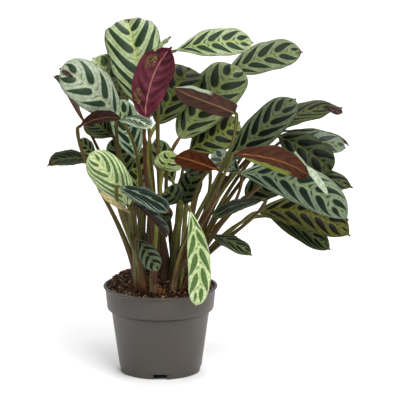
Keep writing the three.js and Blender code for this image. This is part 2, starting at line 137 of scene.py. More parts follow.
def ease(value, low, high):  # 0 at low, 1 at high, smooth between
    node = newNode("MapRange", value, *((low, high, 0, 1) if low < high else (high, low, 1, 0)))
    node.interpolation_type = "SMOOTHSTEP"
    return node.outputs["Result"]


def mix(share, first, second, way="MIX"):
    node = treeOf(share, first, second).nodes.new("ShaderNodeMix")
    node.data_type, node.blend_type = "RGBA", way
    for i, value in ((0, share), (6, first), (7, second)):
        feed(node.inputs[i], value)
    return node.outputs[2]


def grain(place, scale, detail=2.0, rough=0.5):
    node = newNode("TexNoise", place)
    for name, value in dict(Scale=scale, Detail=detail, Roughness=rough).items():
        feed(node.inputs[name], value)
    return node.outputs["Fac"]


def stretched(place, scale):
    node = newNode("Mapping", place)
    feed(node.inputs["Scale"], scale)
    return node.outputs["Vector"]


def objectPlace(tree):
    return tree.nodes.new("ShaderNodeTexCoord").outputs["Object"]


def uvPlace(tree, name):
    node = tree.nodes.new("ShaderNodeUVMap")
    node.uv_map = name
    return node.outputs["UV"]


def attribute(tree, name):
    node = tree.nodes.new("ShaderNodeAttribute")
    node.attribute_name = name
    return node.outputs["Fac"]


def dress(shader, colour, rough, gloss, height, strength, depth):  # depth is the bump's, in metres
    feed(shader.inputs["Base Color"], colour)
    feed(shader.inputs["Roughness"], rough)
    feed(shader.inputs["Specular IOR Level"], gloss)
    bump = shader.id_data.nodes.new("ShaderNodeBump")
    for name, value in dict(Strength=strength, Distance=depth, Height=height).items():
        feed(bump.inputs[name], value)
    feed(shader.inputs["Normal"], bump.outputs["Normal"])


# ---- objects: small helpers


def pickOnly(*objects):
    bpy.ops.object.select_all(action="DESELECT")
    for o in objects:
        o.select_set(True)
    bpy.context.view_layer.objects.active = objects[0]


def editAll():
    bpy.ops.object.mode_set(mode="EDIT")
    bpy.ops.mesh.select_all(action="SELECT")


def leaveEdit():
    bpy.ops.object.mode_set(mode="OBJECT")


def applyModifier(piece, kind, **settings):
    pickOnly(piece)
    bpy.ops.object.modifier_add(type=kind)
    modifier = piece.modifiers[-1]
    for key, value in settings.items():
        setattr(modifier, key, value)
    bpy.ops.object.modifier_apply(modifier=modifier.name)


def copyOf(template):  # with its own mesh
    piece = template.copy()
    piece.data = template.data.copy()
    bpy.context.scene.collection.objects.link(piece)
    return piece


def joined(pieces):
    pickOnly(*pieces)
    bpy.ops.object.join()
    return bpy.context.object


def setAttribute(piece, name, value):
    layer = piece.data.attributes.new(name, "FLOAT", "POINT")
    layer.data.foreach_set("value", [value] * len(piece.data.vertices))


def seat(piece, name, *nodes):
    piece.name = name
    piece.data.name = name
    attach(piece, "root")
    if nodes:
        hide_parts(*nodes)


buildStudio()
print("studio built")

# ---- pot

pot = dict(
    height=0.092, rimRadius=0.060, footRadius=0.0425, collarHeight=0.025, collarStep=0.0042,
    lip=0.0016, lipHeight=0.003, wall=0.0015, footHeight=0.0055, dishRadius=0.012, dishSlope=0.003,
    slots=4, slotWidth=0.014, recessWidth=0.023, recessDepth=0.0016, sides=144, smoothAngle=35,
    tint="4b4743", shade="3e3831", streak="5a5754", band="494236", collarShadow="14110f", dust="5c554b",
    dustHeight=0.02, gloss=0.35, rough=0.37,
)


def wallRadius(z):  # outside, below the collar
    top = pot["rimRadius"] - pot["lip"] - pot["collarStep"] - 0.0024
    return pot["footRadius"] + (top - pot["footRadius"]) * z / (pot["height"] - pot["collarHeight"])


def collarRadius(z):
    bottom = pot["height"] - pot["collarHeight"]
    low, high = wallRadius(bottom) + pot["collarStep"], pot["rimRadius"] - pot["lip"]
    return low + (high - low) * (z - bottom) / pot["collarHeight"]


def turnUp(name, profile, sides):
    # a round body drawn up ring by ring from its first (radius, height), with a flat face on each end
    radius, height = profile[0]
    bpy.ops.mesh.primitive_circle_add(vertices=sides, radius=radius, location=(0, 0, height))
    body = bpy.context.object
    body.name = name
    bpy.ops.object.transform_apply(location=True, rotation=False, scale=False)
    editAll()
    bpy.ops.mesh.edge_face_add()
    bpy.ops.mesh.select_all(action="DESELECT")
    leaveEdit()
    for edge in body.data.edges:
        edge.select = True
    bpy.ops.object.mode_set(mode="EDIT")
    bpy.ops.mesh.select_mode(type="EDGE")
    for nextRadius, nextHeight in profile[1:]:
        bpy.ops.mesh.extrude_edges_move(TRANSFORM_OT_translate={"value": (0, 0, nextHeight - height)})
        grow = nextRadius / radius
        bpy.ops.transform.resize(value=(grow, grow, 1), center_override=(0, 0, 0))
        radius, height = nextRadius, nextHeight
    bpy.ops.mesh.edge_face_add()
    bpy.ops.mesh.select_all(action="SELECT")
    bpy.ops.mesh.normals_make_consistent(inside=False)
    leaveEdit()
    return body


def plasticMaterial():
    material, tree, shader = newMaterial("greyPlastic")
    place = objectPlace(tree)
    z = newNode("SeparateXYZ", place).outputs["Z"]
    upright = stretched(place, (1, 1, 0.08))
    drawn = grain(upright, 260, 3)  # faint streaks from the mould
    dust = times(ease(grain(place, 420, 2), 0.62, 0.78), 0.35)
    colour = mix(grain(place, 22, 3), paint(pot["tint"]), paint(pot["shade"]))
    colour = mix(times(drawn, 0.18), colour, paint(pot["streak"]))
    colour = mix(times(ease(grain(upright, 55, 2), 0.45, 0.62), 0.35), colour, paint(pot["band"]))
    # painted shadow: a dark band on the wall just under the collar's step
    step = minus(pot["height"] - pot["collarHeight"], z)
    shadow = times(ease(step, -0.0006, 0.0001), ease(step, 0.0032, 0.001), 0.9)
    colour = mix(shadow, colour, paint(pot["collarShadow"]))
    low = ease(z, pot["dustHeight"], 0)  # a little peat dust near the ground
    colour = mix(times(low, dust, 0.8), colour, paint(pot["dust"]))
    rough = plus(pot["rough"], times(drawn, 0.14), times(dust, 0.3))
    dress(shader, colour, rough, pot["gloss"], plus(times(grain(place, 900, 2), 0.5), drawn), 0.16, 0.0002)
    return material


def cutFoot(body, turn, size, rounding):  # takes a block out of the foot's rim
    foot = pot["footRadius"]
    bpy.ops.mesh.primitive_cube_add(size=1, location=(foot * math.sin(turn), -foot * math.cos(turn), 0))
    block = bpy.context.object
    block.dimensions = size
    block.rotation_euler = (0, 0, turn)
    bpy.ops.object.transform_apply(location=True, rotation=True, scale=True)
    applyModifier(block, "BEVEL", width=rounding, segments=2)
    applyModifier(body, "BOOLEAN", operation="DIFFERENCE", object=block, solver="EXACT")
    bpy.data.objects.remove(block)


def buildPot():
    height, wall, lip = pot["height"], pot["wall"], pot["lip"]
    step, floor = height - pot["collarHeight"], pot["footHeight"]
    dish, slope, foot = pot["dishRadius"], pot["dishSlope"], pot["footRadius"]
    lipLow, rim = height - pot["lipHeight"], pot["rimRadius"]
    profile = [  # from the dish under the floor, out over the foot, up, over the rim and down inside
        (dish, 0), (dish + slope, floor), (foot - 0.0035, floor), (foot - 0.003, 0), (foot - 0.0012, 0),
        (foot - 0.0004, 0.0006), (wallRadius(0.003), 0.003), (wallRadius(step * 0.5), step * 0.5),
        (wallRadius(step - 0.0006), step - 0.0006), (wallRadius(step) + 0.0004, step),
        (collarRadius(step) - 0.0016, step), (collarRadius(step) - 0.0005, step + 0.0005),
        (collarRadius(step + 0.002), step + 0.002), (collarRadius(step + 0.012), step + 0.012),
        (collarRadius(lipLow - 0.0004), lipLow - 0.0004), (collarRadius(lipLow) + 0.0004, lipLow),
        (rim - 0.0004, lipLow + lip * 0.7), (rim, lipLow + lip), (rim, height - 0.0008),
        (rim - 0.0003, height - 0.0002), (rim - 0.0009, height),
        (collarRadius(height) - wall + 0.0003, height), (collarRadius(height) - wall, height - 0.0004),
        (collarRadius(step + 0.002) - wall, step + 0.002),
        (wallRadius(step) - wall, step - 0.001), (wallRadius(floor + wall) - wall, floor + wall),
        (dish + slope - wall, floor + wall), (dish - wall, wall),
    ]
    body = turnUp("nurseryPot", profile, pot["sides"])
    for i in range(pot["slots"]):  # the drainage slots through the foot, each framed by a shallow recess
        turn = i * 2 * math.pi / pot["slots"]
        cutFoot(body, turn, (pot["slotWidth"], foot, 2 * floor - 0.0008), 0.0008)
        cutFoot(body, turn, (pot["recessWidth"], pot["recessDepth"] * 2, 2 * floor + 0.0008), 0.0005)
    pickOnly(body)
    bpy.ops.object.shade_smooth_by_angle(angle=math.radians(pot["smoothAngle"]))
    body.data.materials.append(plasticMaterial())
    seat(body, "nurseryPot", "pot")


buildPot()
print("pot built")

# ---- peat

peat = dict(
    edgeBelowRim=0.004, mound=0.012, rings=46, sides=150, gap=0.0004, lumps=0.0014, shift=0.0005,
    heap=0.0095, heapAt=(-0.034, 0.028), heapWidth=0.022,
    crumbs=1500, crumbSize=(0.0007, 0.0021), chips=150, grains=800, grainSize=(0.0004, 0.001), tilt=0.6,
    spread=0.985, seed=11,
    dark="0d0703", warm="46280f", brown="7c4c22", pale="c2ae8a", black="080402", gloss=0.15,
)
peatEdge = pot["height"] - peat["edgeBelowRim"]


def bedHeight(x, y):  # the smooth mound
    share = min(1, math.hypot(x, y) / (collarRadius(peatEdge) - pot["wall"]))
    return peatEdge + peat["mound"] * (1 - share * share) ** 1.2


def peatHeight(x, y):  # with the loose heap at the back left
    heapX, heapY = peat["heapAt"]
    away = math.hypot(x - heapX, y - heapY) / peat["heapWidth"]
    return bedHeight(x, y) + peat["heap"] * math.exp(-(away**2))


def peatMaterial():
    material, tree, shader = newMaterial("moistPeat")
    place, tone = objectPlace(tree), attribute(tree, "tone")
    cloud, fine = grain(place, 60, 4), grain(place, 520, 4, 0.65)
    colour = mix(ease(cloud, 0.35, 0.7), paint(peat["dark"]), paint(peat["warm"]))
    colour = mix(ease(tone, 0.25, 0.75), colour, paint(peat["brown"]))
    colour = mix(ease(tone, 0.9, 0.96), colour, paint(peat["pale"]))
    colour = mix(times(ease(fine, 0.55, 0.35), 0.75), colour, paint(peat["black"]))
    rough = plus(0.42, times(fine, 0.4))
    dress(shader, colour, rough, peat["gloss"], plus(fine, times(cloud, 0.5)), 0.8, 0.0008)
    return material


def layBed():
    edge = collarRadius(peatEdge) - pot["wall"] - peat["gap"]
    step = pot["height"] - pot["collarHeight"]
    inside = pot["wall"] + peat["gap"]
    low = pot["footHeight"] + inside
    profile = [(wallRadius(low) - inside, low), (wallRadius(step - 0.003) - inside, step - 0.003)]
    profile += [(collarRadius(step + 0.002) - inside, step + 0.003), (edge, peatEdge - 0.001)]
    profile += [(edge * i / peat["rings"], peatEdge) for i in range(peat["rings"], 0, -1)]
    ground = turnUp("peatBed", profile, peat["sides"])
    for vertex in ground.data.vertices:
        x, y, z = vertex.co
        if z > peatEdge - 0.0001:
            lumpy = noise.noise(vertex.co * 150) + 0.6 * noise.noise(vertex.co * 420 + Vector((3, 1, 4)))
            rimward = min(1, (edge - math.hypot(x, y)) / 0.004)
            vertex.co.z = peatHeight(x, y) + peat["lumps"] * lumpy * (0.4 + 0.6 * rimward)
            vertex.co.x += peat["shift"] * noise.noise(vertex.co * 300 + Vector((9, 0, 0))) * rimward
            vertex.co.y += peat["shift"] * noise.noise(vertex.co * 300 + Vector((0, 9, 0))) * rimward
    setAttribute(ground, "tone", 0.1)
    pickOnly(ground)
    bpy.ops.object.shade_smooth()
    return ground, edge


def scatterCrumbs(edge):
    # one crumb, then copies of it, each squeezed and turned its own way
    draw = random.Random(peat["seed"])
    bpy.ops.mesh.primitive_ico_sphere_add(subdivisions=2, radius=1)
    crumb = bpy.context.object
    for vertex in crumb.data.vertices:
        vertex.co *= 1 + 0.4 * noise.noise(vertex.co * 1.7 + Vector((5, 2, 8)))
    applyModifier(crumb, "DECIMATE", ratio=0.5)
    bpy.ops.object.shade_smooth()
    heap, tilt = [], peat["tilt"]
    for i in range(peat["crumbs"] + peat["chips"] + peat["grains"]):
        piece = copyOf(crumb)
        radius, turn = edge * peat["spread"] * math.sqrt(draw.random()), draw.uniform(0, 2 * math.pi)
        x, y = radius * math.cos(turn), radius * math.sin(turn)
        size = draw.uniform(*peat["crumbSize"]) * (0.7 + 0.6 * draw.random() ** 3)
        tone = draw.choice((0.0, 0.0, 0.3, 0.45, 0.75))
        squeeze = (1, draw.uniform(0.6, 1), draw.uniform(0.45, 0.9))
        if i >= peat["crumbs"]:
            tone, squeeze = 0.8, (draw.uniform(1.6, 3), 0.5, 0.3)  # a chip of bark
        if i >= peat["crumbs"] + peat["chips"]:
            tone, squeeze, size = 1.0, (1, 0.8, 0.7), draw.uniform(*peat["grainSize"])  # a pale grain
        turned = Euler((draw.uniform(-tilt, tilt), draw.uniform(-tilt, tilt), draw.uniform(0, 6.28)))
        lift = peatHeight(x, y) + size * draw.uniform(0.1, 0.5)
        piece.data.transform(Matrix.LocRotScale(Vector((x, y, lift)), turned, Vector(squeeze) * size))
        setAttribute(piece, "tone", tone)
        heap.append(piece)
    bpy.data.objects.remove(crumb)
    return joined(heap)


def buildPeat():
    material = peatMaterial()
    ground, edge = layBed()
    ground.data.materials.append(material)
    seat(ground, "peatBed", "soil")
    crumbs = scatterCrumbs(edge)
    crumbs.data.materials.append(material)
    seat(crumbs, "peatCrumbs", "soil")


buildPeat()
print("peat laid")

# ---- leaves
# base, tip, width and bow in millimetres; fold and edge in degrees; the blade arches from fold at the
# midrib to edge at its margin. bow lifts the midrib along face, sweep moves it sideways, and bend tells
# how far a stalk runs along its blade's line and under it before the blade's base.

# shade scales a leaf's colours, and a curl's: partly its own lightness, partly painted light and shade, lower
# for leaves that sit in shade and higher for leaves that sit under others
usual = dict(
    sweep=(0, 0), fold=14, edge=-10, taper=0.9, point=0.55, bend=None, tail=(0, 0, 0), crest=0, look="dark",
    under="brown", pairs=None, phase=None, lean=0.3, fat=0.8, small=0.12, gap=0.07, reach=0.8, shade=1,
    gloss=None, quilt=0.55, brownTip=0.01, speck=0, strip=(0, 1, 0, 1), stripColour="75853a",
)


def leaf(clump, stem, base, tip, face, width, bow, **own):
    return dict(usual, clump=clump, stem=stem, base=base, tip=tip, face=face, width=width, bow=bow, **own)


leaves = {
    1: leaf("back_left", 0, (-13, 5, 273), (-34, 74, 359), (0, -0.9, 0.4), 59, (0, 44), sweep=(-3, 2),
        fold=18, edge=-20, taper=0.8, point=0.35, crest=4, look="bright", under="plum", pairs=5.6, phase=0.15,
        lean=0.38, fat=0.72, small=0.04, gap=0.03, reach=1, shade=0.95, gloss=0.1, brownTip=-0.05),
    2: leaf("front", 0, (-15, -40, 277), (13, -58, 354), (-0.1, 1, 0.1), 39, (4, 6), sweep=(-8, -10), edge=-4,
        taper=0.6, point=1.1, look="bright", under="plum", pairs=6.5, shade=0.85, gloss=0.2, quilt=2.8,
        speck=0.85),
    3: leaf("left", 0, (-42, -32, 277), (-102, -40, 329), (0, -0.9, 0.4), 45, (6, 24), sweep=(-4, -6),
        fold=12, edge=-22, taper=0.7, look="white", under="plum", pairs=4.1, phase=0.25, lean=0.34, fat=0.66,
        small=0.06, shade=0.8, gloss=0.2),
    4: leaf("back_left", 0, (-34, 38, 279), (-71, 50, 325), (0, -0.8, 0.6), 42, (4, 8), fold=12, edge=-14,
        look="cream", under="rust", pairs=4, fat=0.7),
    5: leaf("left", 1, (-78, 8, 264), (-110, 0, 314), (0.9, 0.1, 0.5), 42, (-2, 4), fold=20, edge=4,
        bend=(10, 12), under="rust", shade=0.65),
    6: leaf("left_front", 0, (-81, -50, 271), (-40, -72, 284), (0, 0.8, 0.5), 18, (9, 7), fold=22, edge=0,
        bend=(1, 44), shade=0.62),
    7: leaf("left", 1, (-49, -8, 252), (-76, 0, 270), (-0.2, -0.6, 0.7), 31, (2, 4), bend=(4, 30), pairs=6,
        lean=0.6, fat=0.72, shade=1.5),
    8: leaf("left", 0, (-24, -15, 229), (-44, -6, 291), (0.1, -0.9, 0.3), 33, (2, 5), fold=30, edge=6,
        look="silver", under="plum", pairs=4.5, lean=0.4, fat=0.9, shade=1.45),
    9: leaf("left_front", 1, (-42, -52, 278), (-8, -84, 275), (0.1, -0.4, 0.9), 24, (7, 8), edge=-20,
        bend=(4, 40), look="white", under="plum", pairs=6, lean=0.6, fat=1.1, reach=0.9, shade=0.98),
    10: leaf("left", 1, (-67, -15, 229), (-114, -30, 229), (-0.1, -0.5, 0.8), 24, (5, 6), fold=20, edge=-8,
        taper=1, bend=(16, 20), tail=(-2, 0, -4), pairs=6, lean=0.5, fat=1, reach=0.9, shade=0.95,
        brownTip=0.06),
    11: leaf("left", 1, (-68, 8, 229), (-85, -2, 247), (0.2, -0.8, 0.5), 16, (2, 2), fold=16, edge=0,
        bend=(12, 14), pairs=4, shade=5),
    12: leaf("left_front", 0, (-32, -66, 191), (-71, -84, 250), (0, -1, 0.1), 37, (2, 12), sweep=(-5, -6),
        fold=12, edge=-30, taper=0.6, bend=(8, 26), look="cream", under="rust", pairs=5, lean=0.7, fat=0.7,
        small=0.05, reach=0.95, shade=1.2, gloss=0.3),
    13: leaf("left_front", 1, (-40, -84, 215), (13, -95, 190), (0.3, -0.4, 0.9), 31, (5, 6), fold=16,
        edge=-24, taper=0.6, point=0.9, bend=(4, 34), look="blue", pairs=4, lean=0.8, fat=1.2, small=0.1,
        gap=0, reach=0.95, shade=1.15, gloss=0.06, brownTip=0.08),
    14: leaf("left_front", 1, (-26, -60, 193), (8, -75, 160), (0.6, -0.2, 0.7), 20, (3, 2), fold=55, edge=30,
        bend=(8, 12), look="blue", pairs=4, fat=1.1, shade=0.4),
    15: leaf("left", 1, (-11, -18, 182), (10, -34, 167), (0, -0.8, 0.6), 23, (3, 4), fold=12, bend=(8, 14),
        pairs=4, fat=0.62, gap=0, reach=1, shade=0.32),
    16: leaf("left_front", 1, (-22, -62, 156), (-1, -70, 123), (0.1, -0.9, 0.4), 21, (2, 3), edge=-20,
        point=0.9, bend=(8, 12), look="sage", under="rust", pairs=5, lean=0.24, fat=0.62, small=0.02,
        gap=-0.06, reach=1.05, shade=0.52),
    17: leaf("right_front", 1, (31, -62, 187), (37, -76, 88), (0, -1, 0.1), 24, (5, 2), sweep=(7, 10),
        fold=16, edge=-16, taper=1, point=0.42, bend=(14, 6), look="cream", under="rust", pairs=5, phase=0.1,
        lean=0.22, fat=0.9, small=0.1, gap=0.1, reach=0.85, shade=1.25, gloss=0.3),
    18: leaf("front", 0, (4, -45, 226), (13, -54, 246), (0.25, -0.9, 0.3), 32, (2, 3), fold=44, edge=4,
        taper=0.75, point=0.4, bend=(6, 20), look="pale", under="rust", pairs=3.2, phase=0.3, lean=0.45,
        fat=0.42, small=0, shade=1.5),
    19: leaf("right_front", 0, (60, -60, 228), (17, -76, 245), (0, 0.9, 0.5), 25, (4, 5), sweep=(-2, -2),
        fold=16, edge=-6, bend=(3, 40), under="rust", pairs=4, shade=0.55),
    20: leaf("right_front", 0, (76, -70, 289), (15, -84, 318), (0.3, 0.9, 0.4), 28, (2, 0), sweep=(0, -5),
        fold=16, edge=-12, taper=0.12, point=1.2, bend=(2, 60), look="white", pairs=5, shade=0.95,
        strip=(0.95, 1, 0.45, 1.1), stripColour="b4bea4"),
    21: leaf("centre", 0, (14, 2, 340), (97, 20, 346), (0, -0.8, 0.6), 33, (6, 8), sweep=(3, 3), edge=-16,
        taper=1.3, bend=(26, 40), look="bright", under="plum", pairs=5.6, lean=0.26, fat=0.85, shade=0.9,
        gloss=0.1),
    22: leaf("back_right", 1, (73, 74, 304), (151, 94, 324), (0.1, -0.8, 0.6), 35, (4, 6), sweep=(7, 7),
        edge=-16, taper=0.6, point=0.65, bend=(10, 50), look="bright", under="plum", pairs=4.8, fat=0.85,
        small=0.06, shade=0.5, gloss=0.08, brownTip=0.05),
    23: leaf("centre", 1, (-3, 0, 264), (36, 58, 310), (-0.2, -0.9, 0.4), 44, (0, 30), sweep=(0, 4), edge=-20,
        taper=0.6, look="olive", under="plum", pairs=5.6, small=0.06, shade=0.58, gloss=0.05),
    24: leaf("back_right", 0, (20, 14, 246), (84, 68, 312), (-0.1, -0.9, 0.4), 52, (0, 26), sweep=(3, 0),
        edge=-22, taper=0.6, look="pale", under="plum", pairs=5.6, small=0.06, shade=0.62, gloss=0.08),
    25: leaf("back_right", 0, (30, 34, 229), (84, 52, 256), (-0.1, -1, 0.2), 38, (4, 6), fold=12, edge=-14,
        bend=(10, 30), look="olive", under="rust", pairs=4.6, fat=0.75, shade=1.5),
    26: leaf("right", 0, (63, -25, 228), (141, -2, 291), (-0.2, -0.8, 0.5), 38, (4, 18), sweep=(-9, -4),
        edge=-22, taper=1.1, look="sage", under="plum", pairs=6.2, lean=0.32, fat=0.85, small=0.05,
        shade=0.43, gloss=0.06),
    27: leaf("right", 1, (106, 20, 253), (191, 32, 275), (0, -0.6, 0.8), 28, (5, 6), sweep=(4, 8), fold=20,
        edge=-16, taper=0.6, point=1.8, bend=(20, 16), look="olive", under="rust", pairs=5.5, lean=0.5,
        shade=0.6, brownTip=0.12),
    28: leaf("back_right", 1, (130, 34, 250), (199, 44, 232), (0.2, -0.3, 0.9), 13, (6, 10), fold=30, edge=0,
        taper=1.2, point=0.35, bend=(30, 14), look="pale", pairs=4, lean=0.6, fat=0.6, shade=0.75,
        brownTip=0.36),
    29: leaf("right", 1, (140, 24, 246), (194, 16, 235), (0, -0.7, 0.6), 24, (4, 4), fold=16, bend=(30, 14),
        look="silver", under="rust", pairs=3, fat=0.7, shade=0.48),
    30: leaf("right", 1, (124, 12, 248), (178, -8, 214), (0.2, -0.9, 0.3), 36, (4, 8), sweep=(5, 5), fold=12,
        edge=-22, taper=0.6, bend=(24, 18), look="moss", under="plum", pairs=3.6, lean=0.32, fat=0.85,
        shade=0.46),
    31: leaf("right", 0, (148, 6, 214), (201, -4, 197), (0, -0.8, 0.6), 20, (3, 3), edge=-14, point=1.2,
        bend=(40, 10), look="moss", under="rust", pairs=3.5, lean=0.5, shade=0.8),
    32: leaf("right_front", 1, (78, -70, 247), (152, -90, 228), (0.1, 0.8, 0.6), 38, (9, 11), edge=-8,
        bend=(12, 40), look="silver", under="rust", pairs=6, shade=0.7, gloss=0.2, quilt=1.3,
        strip=(0.95, 1, 0.12, 0.7), stripColour="7f8a3a"),
    33: leaf("right_front", 1, (81, -50, 222), (193, -72, 177), (0.1, -1, 0.1), 42, (6, 10), sweep=(18, 22),
        fold=16, edge=-40, point=0.9, bend=(20, 26), look="silver", under="plum", pairs=6.3, lean=0.26,
        fat=0.72, shade=0.6, gloss=0.12),
    34: leaf("right", 0, (100, -10, 172), (198, -20, 149), (0.1, -0.9, 0.4), 36, (5, 8), sweep=(16, 15),
        edge=-24, point=0.8, bend=(20, 10), look="warm", under="rust", pairs=6.4, lean=0.26, small=0.06,
        shade=0.68),
    35: leaf("right", 0, (114, 14, 162), (179, 14, 126), (0.3, -0.8, 0.5), 27, (5, 6), sweep=(4, 4), edge=-16,
        point=0.8, bend=(36, 8), pairs=5, lean=0.6, fat=0.85, reach=0.9, shade=1.3),
    36: leaf("right_front", 1, (107, -55, 195), (54, -85, 182), (-0.2, -0.4, 0.9), 22, (7, 9), edge=-20,
        bend=(-14, 30), under="plum", pairs=4.5, lean=0.6, fat=1.3, gap=0, reach=0.9, shade=0.8),
    37: leaf("right_front", 0, (52, -52, 157), (95, -66, 139), (0.2, -0.4, 0.9), 25, (5, 6), fold=16,
        edge=-18, point=0.9, bend=(16, 10), pairs=4.5, lean=0.5, fat=0.95, reach=0.9, shade=1.3),
    38: leaf("centre", 1, (21, -20, 186), (6, -40, 204), (0, -1, 0.2), 26, (2, 3), fold=12, bend=(8, 20),
        pairs=3.4, fat=0.68, gap=0, reach=0.95, shade=1.2),
    39: leaf("centre", 1, (23, 0, 178), (37, -5, 214), (0, -0.9, 0.4), 26, (2, 3), pairs=4.5, fat=0.62, gap=0,
        reach=0.95, shade=1.4),
    40: leaf("right", 1, (50, -20, 219), (22, -30, 227), (0, -0.7, 0.7), 24, (3, 4), bend=(2, 40), pairs=3,
        fat=0.7, gap=0, reach=0.95, shade=0.32),
    41: leaf("left", 0, (-34, 4, 209), (-46, -2, 251), (0, -0.9, 0.3), 30, (2, 4), pairs=4, fat=0.72,
        shade=2.5),
    42: leaf("back_right", 1, (47, 4, 169), (72, 26, 203), (-0.5, 0.6, 0.6), 21, (4, 4), fold=18, edge=-6,
        pairs=4),
    43: leaf("back_right", 0, (14, 18, 197), (-5, 8, 246), (0, -0.9, 0.3), 24, (2, 3), fold=12, pairs=4,
        fat=0.7, shade=3.1),
    44: leaf("right", 1, (83, 6, 211), (54, 14, 230), (0, -0.8, 0.6), 22, (3, 4), bend=(2, 40), look="silver",
        pairs=3, shade=0.62),
    45: leaf("back_left", 0, (-56, 52, 262), (-97, 92, 292), (-0.2, 0.6, 0.8), 44, (4, 10), fold=12, edge=-16,
        bend=(20, 20), look="moss", under="plum", pairs=5.5),
    46: leaf("back_left", 1, (-13, 62, 258), (-27, 112, 300), (-0.1, 0.7, 0.7), 46, (4, 12), fold=12,
        edge=-18, bend=(20, 20), look="sage", under="plum", pairs=5.5),
    47: leaf("back_right", 1, (34, 78, 232), (50, 134, 262), (0.1, 0.5, 0.9), 44, (6, 12), fold=12, edge=-18,
        bend=(20, 20), look="moss", under="plum", pairs=5.5),
    48: leaf("back_right", 1, (90, 50, 176), (132, 58, 198), (0.1, -0.8, 0.6), 35, (3, 5), fold=12, edge=-18,
        taper=0.5, bend=(20, 10), pairs=4, fat=0.72, shade=1.15),
    49: leaf("back_left", 0, (-24, 70, 177), (-26, 76, 226), (0, -0.8, 0.4), 28, (3, 5), edge=-18, taper=0.6,
        bend=(20, 16), look="olive", under="rust", pairs=4, fat=0.75, shade=3.2),
}


# curled margins and tips, each laid like a leaf and joined to the leaf of its number. A pin is a place
# on that leaf, (across -1 to 1, along 0 to 1), where the curl's base or tip sits.
curls = {
    2: dict(base=(-5, -61, 351), tip=(12, -60, 365), face=(0, -0.9, 0.4), width=5, bow=(-2, -3), fold=30,
        edge=0, taper=1.2, point=1.4, look="bright", under="plum", pairs=3, fat=0.4, brownTip=0.1),
    3: dict(pinBase=(0.12, 0.8), pinTip=(0.1, 0.955), face=(0, -0.9, 0.4), width=4.5, bow=(1, 1), fold=4,
        edge=-6, taper=1, point=1, look="brown", pairs=3, shade=1.2, brownTip=-0.1),
    12: dict(base=(-29, -80, 187), tip=(-61, -88, 211), face=(0.1, -0.9, 0.5), width=7, bow=(-1, -2), fold=10,
        edge=-20, point=1.2, look="sand", under="sand", pairs=3, fat=0.2, brownTip=-0.1),
    27: dict(base=(172, 29, 277), tip=(191, 27, 271), face=(0, -0.9, 0.4), width=10, bow=(3, -1), fold=30,
        edge=-40, taper=2, point=0.6, look="brown", pairs=3, fat=0.4, brownTip=-0.1),
    32: dict(base=(137, -99, 254), tip=(171, -99, 209), face=(0.1, -0.9, 0.4), width=7.5, bow=(1, 1),
        sweep=(1, 2), fold=24, edge=-30, taper=8, point=0.6, look="white", pairs=4, fat=0.04, small=0,
        shade=1.1, brownTip=-0.1),
}

blade = dict(
    rows=64, columns=28, thickness=0.45, baseWidth=2.2, tipWidth=1.2, ribDepth=0.85, ribWidth=0.75,
    groove=0.45, ruffle=0.05, ragged=0.04, wave=0.05, period=13.5, veinBend=1.9, sideShift=0.11,
    wornTip="3c2415", speckle="d4dccb", speckRing="5e3520", speckDot="8d8a4e",
    speckCentres=((-0.46, 0.72), (-0.6, 0.26)), speckAcross=2.9, speckAlong=8.5,
)

# the upper side's colours, then its gloss
lookParts = ("Ground", "Inner", "Rim", "Blotch", "Margin")
looks = dict(
    bright=("a6af8c", "98a35e", "4b6630", "182c1a", "243420", 0.2),
    silver=("98a88e", "8fa06c", "41583c", "17291f", "1f3328", 0.2),
    white=("b4bcaa", "adb698", "5c734c", "1e3626", "28402c", 0.2),
    cream=("b6c098", "a8b272", "66803e", "435c2c", "485a34", 0.15),
    sage=("7c876c", "727a42", "344a28", "0c160a", "162210", 0.08),
    pale=("8e996c", "929c52", "4a5c2e", "182614", "263620", 0.12),
    olive=("616a3d", "686c28", "33391a", "0c1006", "1a200e", 0.08),
    warm=("62652f", "6a6624", "383618", "0e0f05", "5a3a24", 0.08),
    moss=("565e40", "585e2c", "283319", "0b0f07", "12180e", 0.06),
    dark=("4b5238", "4e5628", "222c18", "080c05", "0e140a", 0.06),
    sand=("b3a27c", "a89a72", "8f8a52", "77783e", "8a5a3c", 0.15),
    brown=("3a1f18", "4a2a1e", "2a1512", "1c0f0c", "241210", 0.3),
    blue=("6f8074", "68785c", "16261c", "0a1410", "101c16", 0.12),
)

underParts = ("Base", "Deep", "VeinAndHighlight", "Rib")
unders = dict(
    plum=("5a1426", "26080f", "873c52", "a06a5c"),
    rust=("602c10", "331608", "7c4218", "a8703a"),
    brown=("42261c", "26140f", "5c382a", "7c5a3a"),
    sand=("a58f68", "8a7a52", "a59a70", "b0a07a"),
)


def newGroup(name, colours, numbers):
    tree = bpy.data.node_groups.new(name, "ShaderNodeTree")
    sockets = [(label, "INPUT", "Color") for label in colours]
    sockets += [(label, "INPUT", "Float") for label in numbers]
    sockets += [("Colour", "OUTPUT", "Color"), ("Rough", "OUTPUT", "Float"), ("Height", "OUTPUT", "Float")]
    for label, way, kind in sockets:
        tree.interface.new_socket(name=label, in_out=way, socket_type="NodeSocket" + kind)
    return tree, tree.nodes.new("NodeGroupInput").outputs, tree.nodes.new("NodeGroupOutput").inputs


def bladePlace(tree):  # across is -1 to 1 from margin to margin, along 0 to 1 from base to tip
    place = objectPlace(tree)
    parts = newNode("SeparateXYZ", uvPlace(tree, "blade")).outputs
    across = plus(times(parts[0], 2), -1)
    drift = minus(grain(place, 75, 2), 0.5)
    return place, across, calc("ABSOLUTE", across), parts[1], drift


def veinPlace(given, across, along, w):  # counted in vein pairs, and the same with each half's shift
    bent = times(calc("POWER", w, blade["veinBend"]), given["Lean"])
    vein = times(minus(along, bent), given["Pairs"])
    shift = times(calc("SIGN", across), blade["sideShift"])
    return vein, plus(vein, given["Phase"], shift)


